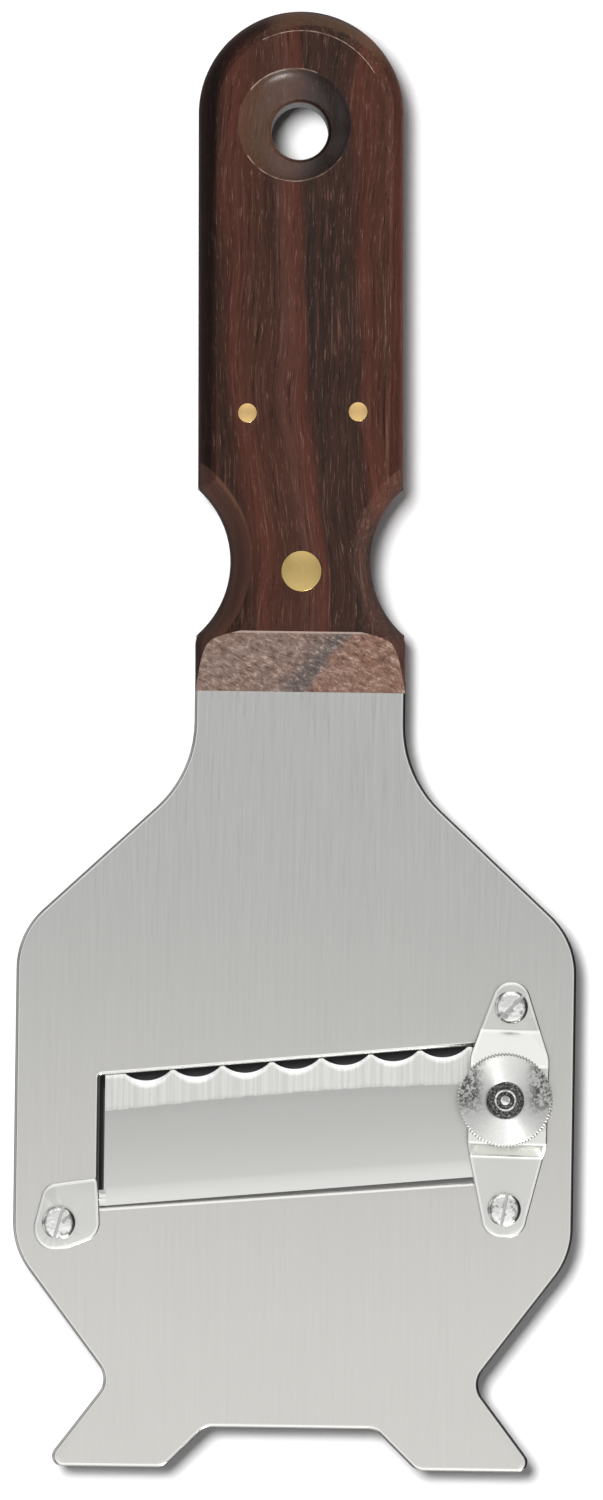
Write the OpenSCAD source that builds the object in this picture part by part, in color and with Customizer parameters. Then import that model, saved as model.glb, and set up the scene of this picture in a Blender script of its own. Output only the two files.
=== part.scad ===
// Adjustable flat slicer: a stainless plate with a wavy-edged blade in a slanted window,
// a bridge with a thumb wheel that tilts the blade, and a wooden handle on the plate's tang.
//
// Frame: +Y runs from the feet to the handle's end, +Z is the side that carries the bridge.
// The origin is under the middle of the whole tool, at the height of the handle's back face.

/* [Plate] */
// Thickness of the sheet
plate_thick = 1.5; // [1.2:0.1:1.8]
// Height of the sheet's smooth back face
plate_z = 8; // [7:0.1:9]
// Width across the shoulders
plate_w = 84; // [80:1:90]
// Width at the neck
neck_w = 31.6; // [28:0.1:31.6]
// Width at the waist above the feet, before its corner is rounded
waist_w = 54.5; // [50:0.5:60]
// Width across the feet, before their tips are rounded
feet_w = 74.4; // [70:0.2:78]
// Height of the notch between the feet
notch_h = 6.15; // [4:0.05:8]
// Width of that notch at its top
notch_top_w = 25.4; // [20:0.2:30]

/* [Window] */
// Left edge of the window
window_left = -29.3; // [-31:0.1:-28]
// Right edge, under the bridge
window_right = 35; // [35:0.1:35.4]
// Lower left corner
window_low_y = -70.5; // [-72:0.1:-69]
// Height of the left edge
window_h = 19.9; // [19.9:0.1:20.2]
// Slope of the lower edge
window_low_slope = 4.7; // [4.5:0.1:4.8]
// Slope of the upper edge
window_high_slope = 5.36; // [5.3:0.02:5.5]

/* [Blade] */
// Thickness of the blade
blade_thick = 1; // [0.9:0.05:1]
// Slope of the spine and of the row of tips
blade_slope = 5.25; // [5.2:0.01:5.3]
// Height from the spine to the tips
blade_h = 19.5; // [19.3:0.05:19.5]
// Gap between the blade's left end and the window
end_gap = 0.85; // [0.6:0.05:1.2]
// Number of scallops
scallops = 8; // [5:1:8]
// Distance from one scallop to the next
scallop_pitch = 7.44; // [7.3:0.01:7.44]
// Width of one scallop at its mouth
scallop_w = 6.85; // [6.5:0.05:7]
// Depth of one scallop
scallop_depth = 1.3; // [1:0.05:1.5]
// Width of the ground bevel
bevel_w = 5.4; // [4:0.1:6]
// Thickness that the bevel leaves at the tips
tip_thick = 0.2; // [0.15:0.05:0.3]
// Radius of the round ears that the blade tilts on
ear_r = 0.5; // [0.45:0.01:0.5]

/* [Bridge] */
// Thickness of the bridge's strip
strip_thick = 1.5; // [1.2:0.1:1.6]
// Height of the strip's step
step_h = 3; // [2.8:0.1:4]
// Width of the strip's middle
bridge_w = 12; // [11.8:0.1:13]
// Length of the strip
bridge_l = 38.3; // [38:0.1:39]
// Lean of the strip
bridge_lean = 1.2; // [0:0.1:2]

/* [Adjuster] */
// Pitch of the thread
pitch = 0.7; // [0.5:0.05:0.7]
// Turns of the wheel from shut to fully open
turns = 2.25; // [1:0.25:2.25]
// Diameter of the thumb wheel
wheel_d = 14.25; // [12:0.25:16]
// Thickness of the thumb wheel
wheel_h = 4.5; // [3:0.5:6]
// Number of ribs round the thumb wheel
wheel_ribs = 84; // [60:2:100]
// Diameter of the adjusting screw
screw_d = 3.9; // [3.6:0.1:3.9]

/* [Screws] */
// Diameter of the slotted screw heads
head_d = 5; // [4.6:0.1:5.4]
// Height of the heads
head_h = 1.7; // [1.4:0.1:2]
// Diameter of the screws' threads
shank_d = 3; // [2.5:0.1:3]
// Width of the slots
slot_w = 0.75; // [0.6:0.05:1]
// Depth of the slots
slot_depth = 0.9; // [0.7:0.1:1.1]
// Height of the heads' straight rim
head_rim = 0.5; // [0.4:0.1:0.7]

/* [Handle] */
// Thickness of the wood
handle_thick = 17.5; // [16:0.5:20]
// Width of the wood
handle_w = 30.7; // [28:0.1:32]
// Width of the wood at its lower end
handle_low_w = 31.5; // [30:0.1:32]
// Height of the wood's end above the origin
handle_top_y = 109.3; // [100:0.1:120]
// Height of the wood's lower end above the origin
handle_low_y = 7.3; // [6:0.1:9]
// Length of the sloping lower end
ramp_l = 9; // [7:0.1:11]
// Lean of the handle against the plate
handle_lean = 0.7; // [0:0.1:1]
// Width of the bevel round the wood
wood_bevel_w = 2.6; // [2:0.1:3]
// Depth of that bevel
wood_bevel_h = 3.2; // [2:0.1:4]
// Radius of the finger notches
finger_r = 14.5; // [12:0.1:16]
// Width left between the finger notches
finger_gap = 21; // [19:0.1:23]
// Height of the finger notches above the lean's pivot
finger_y = 20.8; // [19:0.1:22]
// Radius of the hanging hole
hang_r = 4.25; // [3.5:0.05:4.5]
// Radius of the dish round the hanging hole
dish_r = 8.4; // [8:0.1:9]
// Depth of that dish
dish_depth = 2; // [1.5:0.1:2.5]
// Radius of the curve from that dish's floor to its rim
dish_wall_r = 2.2; // [1.8:0.1:2.6]

/* [Hidden] */
$fn = 64;
steel = "silver";
brass = "goldenrod";
wood = "saddlebrown";
slack = 0.05;       // running clearance round the ears and the adjusting screw
past = 1;           // how far a cutting tool runs past the face that it cuts
far = 10;           // the same for tools that clear the wood's whole lower end
corner_steps = 10;  // pieces in each rounded corner of an outline

// Heights
plate_top = plate_z + plate_thick;
ear_z = plate_top - slack - ear_r;
blade_top = ear_z + blade_thick / 2;
blade_low = ear_z - blade_thick / 2;
strip_top = plate_top + step_h + strip_thick;
foot_top = plate_top + strip_thick;
clip_thick = 1.2;
clip_top = plate_top + clip_thick;

// Plate outline, as corners [x, y, radius]
feet_y = -109.3;
shoulder_y = -29.4;
flank_y = -76.7;
waist_y = -96.2;
neck_corner_y = -5.1;
shoulder_r = 12;
neck_r = 17.5;
waist_r = 3.4;
foot_tip_r = 1.5;
notch_r = 2.4;
tang_root_y = 9;
tang_step = 2;
notch_flare = 1.02;  // sideways spread of the notch for each millimetre of its height
foot_inner_x = notch_top_w / 2 + notch_h * notch_flare;
plate_side = [[neck_w / 2 - tang_step, tang_root_y + tang_step, 0], [neck_w / 2, tang_root_y, 0],
              [neck_w / 2, neck_corner_y, neck_r],
              [plate_w / 2, shoulder_y, shoulder_r], [plate_w / 2, flank_y, shoulder_r],
              [waist_w / 2, waist_y, waist_r], [feet_w / 2, feet_y, foot_tip_r],
              [foot_inner_x, feet_y, notch_r], [notch_top_w / 2, feet_y + notch_h, notch_r]];

// Window outline
window_w = window_right - window_left;
window_corner_r = 0.4;
window = [[window_left, window_low_y, window_corner_r],
          [window_right, window_low_y + window_w * tan(window_low_slope), window_corner_r],
          [window_right, window_low_y + window_h + window_w * tan(window_high_slope), window_corner_r],
          [window_left, window_low_y + window_h, window_corner_r]];

// Blade frame: origin at the window's lower left corner, u along the spine, v to the tips
spine_v = 0.2;
ear_v = spine_v + 1.2;
tip_v = spine_v + blade_h;
neck_v = ear_v + 1.2;
first_scallop_u = 5.65;
blade_right = 34.4;
tab_hole_r = 1.4;
spine_bevel = 0.25;
left_ear_u = -2.7;
right_ear_u = 66.4;
ear_slack = 0.25;
ear_root_u = 2;
neck_gap = 0.15;

// Adjuster
wheel_at = [31.4, -53.2];
feed = pitch * turns;
wheel_gap = 0.3;  // what is left under the wheel when the screw is fully down
wheel_z = strip_top + feed + wheel_gap;
wheel_top = wheel_z + wheel_h;
hub_recess_r = 2.8;
hub_recess_depth = 1;
rib_depth = 0.25;
tip_r = 1;
washer_r = 2.2;
washer_hole_r = 1.06;
washer_thick = 0.3;
washer_gap = 0.4;
upper_washer_z = blade_top + washer_gap;
lower_washer_z = blade_low - washer_gap - washer_thick;
shoulder_z = upper_washer_z + washer_thick + slack;
rivet_tip_r = 1.7;
rivet_tip_h = 0.3;
hub_r = 1.7;
hub_end_h = 0.7;  // how far the screw's end stands up in the wheel's recess
hub_end_z = wheel_top - hub_recess_depth + hub_end_h;
ring_outer_r = 1.2;
ring_inner_r = 0.8;
ring_depth = 0.5;

// Bridge, in its own frame: s along the strip from its middle
bridge_at = [31.94, -54.89];
bridge_half = bridge_l / 2;
bridge_side = [[3.2, bridge_half, 2.9], [3.35, 14.5, 4], [bridge_w / 2, 8, 4],
               [bridge_w / 2, -5.5, 8], [3.45, -16, 8], [3.3, -bridge_half, 3.2]];
top_bend = [11.8, 7.6];
low_bend = [-4.8, -7];
bend_back = 0.8;  // the strip's back bends this much later than its front

// Screws: [x, y], and the angle of each slot
top_screw_at = [32.25, -39.5];
low_screw_at = [31.6, -69.8];
clip_screw_at = [-35.1, -72.7];
top_slot_angle = 45;
low_slot_angle = 80;
clip_slot_angle = 74;
tap_r = shank_d / 2 + slack;

// Clip outline, clockwise from its upper right corner
clip = [[-29.6, -65.95, 0.8], [-37.1, -67.1, 2.2], [-38.75, -73.2, 3.5], [-37.3, -76.6, 2.4],
        [-33.6, -76.5, 4], [-29.0, -74.2, 1.4], [-29.15, -68.6, 4]];

// Handle, in its own frame: origin at the pivot of its lean
pivot_y = 6;
handle_end = (handle_top_y - pivot_y - handle_w / 2) / cos(handle_lean);
handle_low = handle_low_y - pivot_y;
kerf_top = 46.6;
tang_top = 46;
hang_at = [-1.22, 91.1];
dish_at = [-1.9, 91.8];
left_pin_at = [-8.46, 48.8];
right_pin_at = [8.06, 49.2];
rivet_at = [-0.07, 25.3];
pin_r = 1.45;
rivet_r = 3.05;
rivet_head_h = 3;
rivet_stem_r = 1.5;
rivet_sleeve_r = 2.2;
rivet_sleeve_top = 13;

function unit(v) = v / norm(v);
function spun(p, a) = [p.x * cos(a) - p.y * sin(a), p.x * sin(a) + p.y * cos(a)];

// Points of the rounded corner at b, on the way from a to c
function corner(a, b, c, r) =
    let (to_a = unit(a - b), to_c = unit(c - b), half = acos(to_a * to_c) / 2,
         centre = b + unit(to_a + to_c) * r / sin(half),
         first = b + to_a * r / tan(half) - centre,
         last = b + to_c * r / tan(half) - centre,
         turn = sign(cross(first, last)) * (180 - 2 * half))
    r == 0 ? [b] : [for (i = [0 : corner_steps]) centre + spun(first, turn * i / corner_steps)];

function flat(p) = [p.x, p.y];

// A closed outline with each corner [x, y, radius] rounded
function rounded(points) =
    let (n = len(points))
    [for (i = [0 : n - 1])
        each corner(flat(points[(i + n - 1) % n]), flat(points[i]), flat(points[(i + 1) % n]), points[i].z)];

// A half outline and its mirror image, as one list of corners
function both_sides(side) =
    concat(side, [for (i = [len(side) - 1 : -1 : 0]) [-side[i].x, side[i].y, side[i].z]]);

// Position along the spine, in the blade frame, of the line at a given x across the plate
function u_at(x, v) = (x - window_left + v * sin(blade_slope)) / cos(blade_slope);

module in_blade_frame() {
    translate([window_left, window_low_y]) rotate(blade_slope) children();
}

module in_bridge_frame() {
    translate(bridge_at) rotate(-bridge_lean) children();
}

module in_handle_frame() {
    translate([0, pivot_y]) rotate(handle_lean) children();
}

module drill(at, r, z0, z1) {
    translate([at.x, at.y, z0]) cylinder(h = z1 - z0, r = r);
}

module slotted_screw(at, under_head_z, slot_angle) {
    cap_h = head_h - head_rim;
    cap_r = ((head_d / 2) ^ 2 + cap_h ^ 2) / (2 * cap_h);
    stem_z = plate_z - under_head_z;
    translate([at.x, at.y, under_head_z]) difference() {
        union() {
            intersection() {
                cylinder(h = head_h, r = head_d / 2);
                translate([0, 0, head_h - cap_r]) sphere(r = cap_r);
            }
            translate([0, 0, stem_z]) cylinder(h = head_rim - stem_z, r = shank_d / 2);
        }
        rotate(slot_angle) translate([-head_d, -slot_w / 2, head_h - slot_depth])
            cube([2 * head_d, slot_w, slot_depth + past]);
    }
}

module ear_groove(u0, u1) {
    r = ear_r + slack;
    translate([u0, ear_v, ear_z]) {
        rotate([0, 90, 0]) cylinder(h = u1 - u0, r = r);
        translate([0, -r, 0]) cube([u1 - u0, 2 * r, plate_top - ear_z + past]);
    }
}

module tang_outline() {
    intersection() {
        handle_outline();
        translate([-handle_w, 0]) square([2 * handle_w, tang_top]);
    }
}

module plate() {
    color(steel) difference() {
        translate([0, 0, plate_z]) {
            linear_extrude(plate_thick) difference() {
                polygon(rounded(both_sides(plate_side)));
                polygon(rounded(window));
            }
            in_handle_frame() linear_extrude(plate_thick) tang_outline();
        }
        for (at = [top_screw_at, low_screw_at, clip_screw_at])
            drill(at, tap_r, plate_z - past, plate_top + past);
        for (at = [left_pin_at, right_pin_at])
            drill(at, pin_r, plate_z - past, plate_top + past);
        drill(rivet_at, rivet_sleeve_r, plate_z - past, plate_top + past);
        in_blade_frame() {
            ear_groove(left_ear_u - ear_slack, past);
            ear_groove(u_at(window_right, ear_v) - past, right_ear_u + ear_slack);
        }
    }
}

module handle_outline() {
    difference() {
        union() {
            translate([0, handle_end]) circle(r = handle_w / 2);
            polygon([[-handle_low_w / 2, -far / 2], [handle_low_w / 2, -far / 2],
                     [handle_w / 2, finger_y + finger_r], [handle_w / 2, handle_end],
                     [-handle_w / 2, handle_end], [-handle_w / 2, finger_y + finger_r]]);
        }
        for (side = [-1, 1])
            translate([side * (finger_gap / 2 + finger_r), finger_y]) circle(r = finger_r);
    }
}

// The wood before it is cut: its outline, bevelled along both faces
module wood_blank() {
    minkowski() {
        translate([0, 0, wood_bevel_h])
            linear_extrude(handle_thick - 2 * wood_bevel_h) offset(delta = -wood_bevel_w) handle_outline();
        for (up = [0, 1])
            mirror([0, 0, up]) cylinder(h = wood_bevel_h, r1 = wood_bevel_w, r2 = 0, $fn = 24);
    }
}

// Cuts the wood's lower end to a slope on each face and square at the plate
module ramp_cut() {
    rise = handle_thick - plate_top;
    rotate([90, 0, 90]) translate([0, 0, -handle_w])
        linear_extrude(2 * handle_w) polygon([
            [handle_low - far, -past], [handle_low + ramp_l * (1 + past / plate_z), -past],
            [handle_low, plate_z], [handle_low, plate_top],
            [handle_low + ramp_l * (1 + past / rise), handle_thick + past],
            [handle_low - far, handle_thick + past]]);
}

// Hollow dish that opens upward from z = 0 down to its flat floor
module dish() {
    floor_r = dish_r - dish_wall_r;
    rotate_extrude() polygon(concat(
        [[0, past], [0, -dish_depth], [floor_r, -dish_depth]],
        [for (a = [9 : 9 : 90]) [floor_r + dish_wall_r * sin(a), -dish_depth * cos(a)]],
        [[dish_r, past]]));
}

module handle() {
    color(wood) difference() {
        in_handle_frame() difference() {
            wood_blank();
            ramp_cut();
            translate([-handle_w, handle_low - far, plate_z])
                cube([2 * handle_w, kerf_top - handle_low + far, plate_thick]);
        }
        drill(hang_at, hang_r, -past, handle_thick + past);
        translate([dish_at.x, dish_at.y, handle_thick]) dish();
        translate([dish_at.x, dish_at.y, 0]) mirror([0, 0, 1]) dish();
        for (at = [left_pin_at, right_pin_at])
            drill(at, pin_r, -past, handle_thick + past);
        drill(rivet_at, rivet_sleeve_r, 0, handle_thick);
        drill(rivet_at, rivet_r, -past, rivet_head_h);
        drill(rivet_at, rivet_r, handle_thick - rivet_head_h, handle_thick + past);
    }
}

module brass_pin(at) {
    color(brass) drill(at, pin_r, 0, handle_thick);
}

module left_pin() {
    brass_pin(left_pin_at);
}

module right_pin() {
    brass_pin(right_pin_at);
}

module rivet_front() {
    color(brass) {
        drill(rivet_at, rivet_r, handle_thick - rivet_head_h, handle_thick);
        drill(rivet_at, rivet_stem_r, rivet_head_h + past, handle_thick - rivet_head_h + past);
    }
}

module rivet_back() {
    color(brass) difference() {
        union() {
            drill(rivet_at, rivet_r, 0, rivet_head_h);
            drill(rivet_at, rivet_sleeve_r, rivet_head_h - past, rivet_sleeve_top);
        }
        drill(rivet_at, rivet_stem_r, rivet_head_h + past, rivet_sleeve_top + past);
    }
}

module corner_clip() {
    color(steel) difference() {
        translate([0, 0, plate_top]) linear_extrude(clip_thick) polygon(rounded(clip));
        drill(clip_screw_at, tap_r, plate_top - past, clip_top + past);
    }
}

module clip_screw() {
    color(steel) slotted_screw(clip_screw_at, clip_top, clip_slot_angle);
}

// Side view of the bent strip: [along the strip, height above the plate]
module strip_profile() {
    reach = bridge_half + past;
    polygon([[reach, strip_thick], [top_bend[0], strip_thick], [top_bend[1], step_h + strip_thick],
             [low_bend[0], step_h + strip_thick], [low_bend[1], strip_thick], [-reach, strip_thick],
             [-reach, 0], [low_bend[1] + bend_back, 0], [low_bend[0] + bend_back, step_h],
             [top_bend[1] - bend_back, step_h], [top_bend[0] - bend_back, 0], [reach, 0]]);
}

module bridge() {
    color(steel) difference() {
        in_bridge_frame() intersection() {
            translate([0, 0, plate_z]) linear_extrude(strip_top) polygon(rounded(both_sides(bridge_side)));
            translate([-bridge_w, 0, plate_top])
                rotate([90, 0, 90]) linear_extrude(2 * bridge_w) strip_profile();
        }
        drill(top_screw_at, tap_r, plate_top - past, foot_top + past);
        drill(low_screw_at, tap_r, plate_top - past, foot_top + past);
        drill(wheel_at, screw_d / 2 + slack, plate_top, strip_top + past);
    }
}

module top_bridge_screw() {
    color(steel) slotted_screw(top_screw_at, foot_top, top_slot_angle);
}

module bottom_bridge_screw() {
    color(steel) slotted_screw(low_screw_at, foot_top, low_slot_angle);
}

module blade_outline() {
    sag = scallop_depth;
    r = (scallop_w / 2) ^ 2 / (2 * sag) + sag / 2;
    left = window_left + end_gap;
    difference() {
        union() {
            polygon([[u_at(left, spine_v), spine_v], [u_at(blade_right, spine_v), spine_v],
                     [u_at(blade_right, tip_v), tip_v], [u_at(left, tip_v), tip_v]]);
            translate([u_at(window_left, ear_v) + neck_gap, spine_v]) square([past, neck_v - spine_v]);
        }
        for (i = [0 : scallops - 1])
            translate([first_scallop_u + scallop_w / 2 + i * scallop_pitch, tip_v - sag + r]) circle(r = r);
    }
}

// Wedge with its sharp edge on the blade's face, where the ground bevel begins
module bevel_cut() {
    reach = bevel_w + past;
    drop = (blade_thick - tip_thick) * reach / bevel_w;
    translate([-past, tip_v - bevel_w, blade_top]) rotate([90, 0, 90])
        linear_extrude(right_ear_u + 2 * past)
            polygon([[0, 0], [reach, -drop], [reach, past], [0, past]]);
}

// The same for the relieved spine, which rises under the bridge as the blade tilts
module spine_cut() {
    reach = ear_v - spine_v + past;
    drop = spine_bevel * reach / (ear_v - spine_v);
    translate([-past, ear_v, blade_top]) rotate([90, 0, 90])
        linear_extrude(right_ear_u + 2 * past)
            polygon([[0, 0], [-reach, -drop], [-reach, past], [0, past]]);
}

module blade() {
    color(steel) in_blade_frame() {
        difference() {
            translate([0, 0, blade_low]) linear_extrude(blade_thick) blade_outline();
            bevel_cut();
            spine_cut();
            rotate(-blade_slope) translate([-window_left, -window_low_y])
                drill(wheel_at, tab_hole_r, blade_low - past, blade_top + past);
        }
        for (span = [[left_ear_u, ear_root_u], [u_at(blade_right, ear_v) - past, right_ear_u]])
            translate([span[0], ear_v, ear_z]) rotate([0, 90, 0]) cylinder(h = span[1] - span[0], r = ear_r);
    }
}

module washer(z) {
    color(steel) difference() {
        drill(wheel_at, washer_r, z, z + washer_thick);
        drill(wheel_at, washer_hole_r, z - past, z + washer_thick + past);
    }
}

module upper_washer() {
    washer(upper_washer_z);
}

module lower_washer() {
    washer(lower_washer_z);
}

module adjusting_screw() {
    riveted_z = lower_washer_z - slack;
    color(steel) difference() {
        union() {
            drill(wheel_at, screw_d / 2, shoulder_z, wheel_z);
            drill(wheel_at, hub_r, shoulder_z, hub_end_z);
            drill(wheel_at, tip_r, riveted_z - rivet_tip_h, shoulder_z + past);
            drill(wheel_at, rivet_tip_r, riveted_z - rivet_tip_h, riveted_z);
        }
        difference() {
            drill(wheel_at, ring_outer_r, hub_end_z - ring_depth, hub_end_z + past);
            drill(wheel_at, ring_inner_r, hub_end_z - past, hub_end_z + 2 * past);
        }
    }
}

module thumb_wheel() {
    step = 180 / wheel_ribs;
    color(steel) difference() {
        translate([wheel_at.x, wheel_at.y, wheel_z]) linear_extrude(wheel_h)
            polygon([for (i = [0 : 2 * wheel_ribs - 1])
                spun([wheel_d / 2 - rib_depth * (i % 2), 0], i * step)]);
        drill(wheel_at, hub_r, wheel_z - past, wheel_top + past);
        drill(wheel_at, hub_recess_r, wheel_top - hub_recess_depth, wheel_top + past);
    }
}

plate();
handle();
left_pin();
right_pin();
rivet_front();
rivet_back();
corner_clip();
clip_screw();
bridge();
top_bridge_screw();
bottom_bridge_screw();
blade();
upper_washer();
lower_washer();
adjusting_screw();
thumb_wheel();
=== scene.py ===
"""The looks of the adjustable slicer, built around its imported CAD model.

Lengths are in millimetres until a mesh is made, and in metres for the lights and the camera.
Most places come from the CAD nodes' boxes and outlines.
"""

import math

import bmesh
import bpy
from mathutils import Matrix, Vector, noise


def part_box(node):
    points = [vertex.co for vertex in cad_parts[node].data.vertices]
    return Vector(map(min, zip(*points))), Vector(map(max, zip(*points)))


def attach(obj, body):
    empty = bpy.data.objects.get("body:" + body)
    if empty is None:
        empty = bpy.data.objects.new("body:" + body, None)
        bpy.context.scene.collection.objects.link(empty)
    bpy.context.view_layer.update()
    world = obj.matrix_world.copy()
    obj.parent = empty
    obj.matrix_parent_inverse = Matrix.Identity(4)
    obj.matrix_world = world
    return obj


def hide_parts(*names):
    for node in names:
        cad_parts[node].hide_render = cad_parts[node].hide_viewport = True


MM = 0.001
SQUARE = ((1, 1), (-1, 1), (-1, -1), (1, -1))

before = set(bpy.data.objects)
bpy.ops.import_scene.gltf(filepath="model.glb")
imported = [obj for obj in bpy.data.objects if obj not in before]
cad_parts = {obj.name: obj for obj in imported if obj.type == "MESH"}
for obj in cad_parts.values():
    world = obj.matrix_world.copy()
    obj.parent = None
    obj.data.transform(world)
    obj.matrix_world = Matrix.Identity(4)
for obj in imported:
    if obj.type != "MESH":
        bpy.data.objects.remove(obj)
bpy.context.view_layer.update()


# ---- places from the CAD model

def low(node):
    """Lowest corner of a CAD node's box, in mm."""
    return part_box(node)[0] / MM


def high(node):
    """Highest corner of a CAD node's box, in mm."""
    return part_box(node)[1] / MM


def centre(node):
    return (low(node) + high(node)) / 2


def radius_of(node):
    """Radius of a round CAD node."""
    return (high(node).x - low(node).x) / 2


def along(points):
    """Pairs of neighbours in a closed loop."""
    return zip(points, points[1:] + points[:1])


def face_loops(node, z):
    """Outlines of a CAD node's flat face at height z: the outer one and the holes, as lists of (x, y)."""
    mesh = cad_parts[node].data
    spots = [tuple(round(c / MM, 4) for c in v.co) for v in mesh.vertices]
    sides = {}
    for face in mesh.polygons:
        corners = [spots[i] for i in face.vertices]
        if all(abs(c[2] - z) < 1e-3 for c in corners):
            sides.update(dict.fromkeys(along(corners)))
    after = {a: b for a, b in sides if (b, a) not in sides}
    loops = []
    while after:
        spot = next(iter(after))
        loop = []
        while spot in after:
            loop.append(spot[:2])
            spot = after.pop(spot)
        loops.append(loop)
    return loops


def area(loop):
    """Signed area: positive if the loop runs anticlockwise."""
    return sum(a[0] * b[1] - b[0] * a[1] for a, b in along(loop)) / 2


PLATE_LOW, PLATE_TOP = low("plate").z, high("plate").z
CLIP_TOP = high("corner_clip").z
WOOD_TOP = high("handle").z
BLADE_LOW, BLADE_TOP = low("blade").z, high("blade").z
WHEEL_AT = centre("thumb_wheel").xy
RIVET_AT = centre("rivet_front").xy

# The handle's outline has its own frame, which starts at PIVOT_Y on the Y axis and leans a little.
LEAN = math.radians(0.7)
PIVOT_Y = 6.0
WOOD_W = 30.7
WOOD_LOW_W = 31.5
WOOD_END_Y = high("handle").y - WOOD_W / 2
FINGER_R = 14.5
NOTCH_AT = (25.0, 20.8)
UPPER_CORNER_R = 2.0
LOWER_CORNER_R = 3.0
BEVEL_W = 2.75
RAMP_LOW_Y = 7.3
RAMP_L = 9.0
KERF_END_Y = 46.6
HANG_AT = Vector((-1.22, 91.1))
DISH_AT = Vector((-1.96, 91.9))
DISH_R = 8.5


# ---- meshes

def add_rings(bm, rings, closed=False):
    """Adds rings of equally many points, joined by faces. Returns each ring's vertices."""
    made = [[bm.verts.new(p) for p in ring] for ring in rings]
    for below, above in along(made) if closed else zip(made, made[1:]):
        for (a, b), (c, d) in zip(along(below), along(above)):
            bm.faces.new((a, b, d, c))
    return made


def close_ends(bm, made):
    """Closes the first and the last of the rings that add_rings made."""
    bm.faces.new(made[0][::-1])
    bm.faces.new(made[-1])


def fill_between(bm, rings):
    """Closes a flat face bounded by these rings of vertices."""
    edges = [bm.edges.get((a, b)) or bm.edges.new((a, b)) for ring in rings for a, b in along(ring)]
    bmesh.ops.triangle_fill(bm, use_beauty=True, use_dissolve=False, edges=edges)


def smooth(mesh, sharp):
    """Smooth shading, but for edges sharper than that many degrees."""
    mesh.polygons.foreach_set("use_smooth", [True] * len(mesh.polygons))
    mesh.set_sharp_from_angle(angle=math.radians(sharp))


def to_mesh(bm, name, sharp=32):
    """Turns a bmesh in mm into a mesh in metres."""
    bmesh.ops.recalc_face_normals(bm, faces=bm.faces)
    bmesh.ops.scale(bm, vec=(MM, MM, MM), verts=bm.verts)
    mesh = bpy.data.meshes.new(name)
    bm.to_mesh(mesh)
    bm.free()
    smooth(mesh, sharp)
    return mesh


def keep_flats(piece):
    """Keeps the large faces flat next to their rounded edges."""
    weighted = piece.modifiers.new("flats", "WEIGHTED_NORMAL")
    weighted.keep_sharp = True
    weighted.weight = 60


def add_object(data):
    thing = bpy.data.objects.new(data.name, data)
    bpy.context.scene.collection.objects.link(thing)
    return thing


def to_object(mesh, *materials):
    for material in materials:
        mesh.materials.append(material)
    return add_object(mesh)


def stand_for(piece, body, slot, *nodes):
    """The piece rides on the body and is shown in place of these CAD nodes."""
    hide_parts(*nodes)
    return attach(piece, body)


def turned(profile, at, name, segments=96, closed=False, wobble=None):
    """A profile [(radius, z), ...] turned about a vertical axis. An open one is closed with end faces."""
    rings = []
    for radius, z in profile:
        ring = []
        for i in range(segments):
            a = math.tau * i / segments
            r = radius + (wobble(a, radius, z) if wobble else 0)
            ring.append((at[0] + r * math.cos(a), at[1] + r * math.sin(a), z))
        rings.append(ring)
    bm = bmesh.new()
    made = add_rings(bm, rings, closed)
    if not closed:
        close_ends(bm, made)
    return to_mesh(bm, name, 40)


def rounded_profile(r, z0, z1, edge, steps=3):
    """Side profile of a disc of radius r from z0 to z1 with rounded rims."""
    turn = [math.pi / 2 * i / steps for i in range(steps + 1)]
    return ([(r - edge + edge * math.sin(a), z0 + edge - edge * math.cos(a)) for a in turn]
            + [(r - edge + edge * math.cos(a), z1 - edge + edge * math.sin(a)) for a in turn])


def inset(loop, distance):
    """The loop moved to its left by a distance, each point along its mitre."""
    moved = []
    for before, here, after in zip(loop[-1:] + loop[:-1], loop, loop[1:] + loop[:1]):
        a = (Vector(here) - Vector(before)).normalized()
        b = (Vector(after) - Vector(here)).normalized()
        normal = Vector((-a.y - b.y, a.x + b.x)).normalized()
        cosine = max(0.5, normal.dot(Vector((-a.y, a.x))))
        moved.append(Vector(here) + normal * distance / cosine)
    return moved


def sheet_solid(loops, z0, z1, edge, steps, rim, fall=0.05):
    """A bmesh of a sheet with these outlines, rounded edges, and on top a falling rim of material 1."""
    bm = bmesh.new()
    bottoms, tops = [], []
    outer = max(loops, key=lambda loop: abs(area(loop)))
    for loop in loops:
        if (area(loop) > 0) != (loop is outer):
            loop = loop[::-1]
        stations = [(edge - r, z) for r, z in rounded_profile(edge, z0, z1 - fall, edge, steps)]
        stations.append((edge + rim, z1))
        made = add_rings(bm, [[(*p, z) for p in inset(loop, distance)] for distance, z in stations])
        for a, b in along(made[-1]):
            bm.edges.get((a, b)).link_faces[0].material_index = 1
        bottoms.append(made[0])
        tops.append(made[-1])
    fill_between(bm, bottoms)
    fill_between(bm, tops)
    return bm


def cut(mesh, others, name, operation="DIFFERENCE"):
    """The mesh with the other closed meshes taken out of it, or joined to it by "UNION"."""
    pieces = [to_object(part) for part in (mesh, *others)]
    for other in pieces[1:]:
        modifier = pieces[0].modifiers.new("cut", "BOOLEAN")
        modifier.operation = operation
        modifier.solver = "EXACT"
        modifier.object = other
    graph = bpy.context.evaluated_depsgraph_get()
    result = bpy.data.meshes.new_from_object(pieces[0].evaluated_get(graph))
    result.name = name
    for unwanted in pieces:
        bpy.data.objects.remove(unwanted)
    return result


def closed_tube(rings, name):
    """Rings of points joined into a tube with closed ends."""
    bm = bmesh.new()
    close_ends(bm, add_rings(bm, rings))
    return to_mesh(bm, name)


def prism_along_x(outline, start, end):
    """A closed prism with an outline of points (y, z)."""
    return closed_tube([[(x, *p) for p in outline] for x in (start, end)], "prism")


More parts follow.
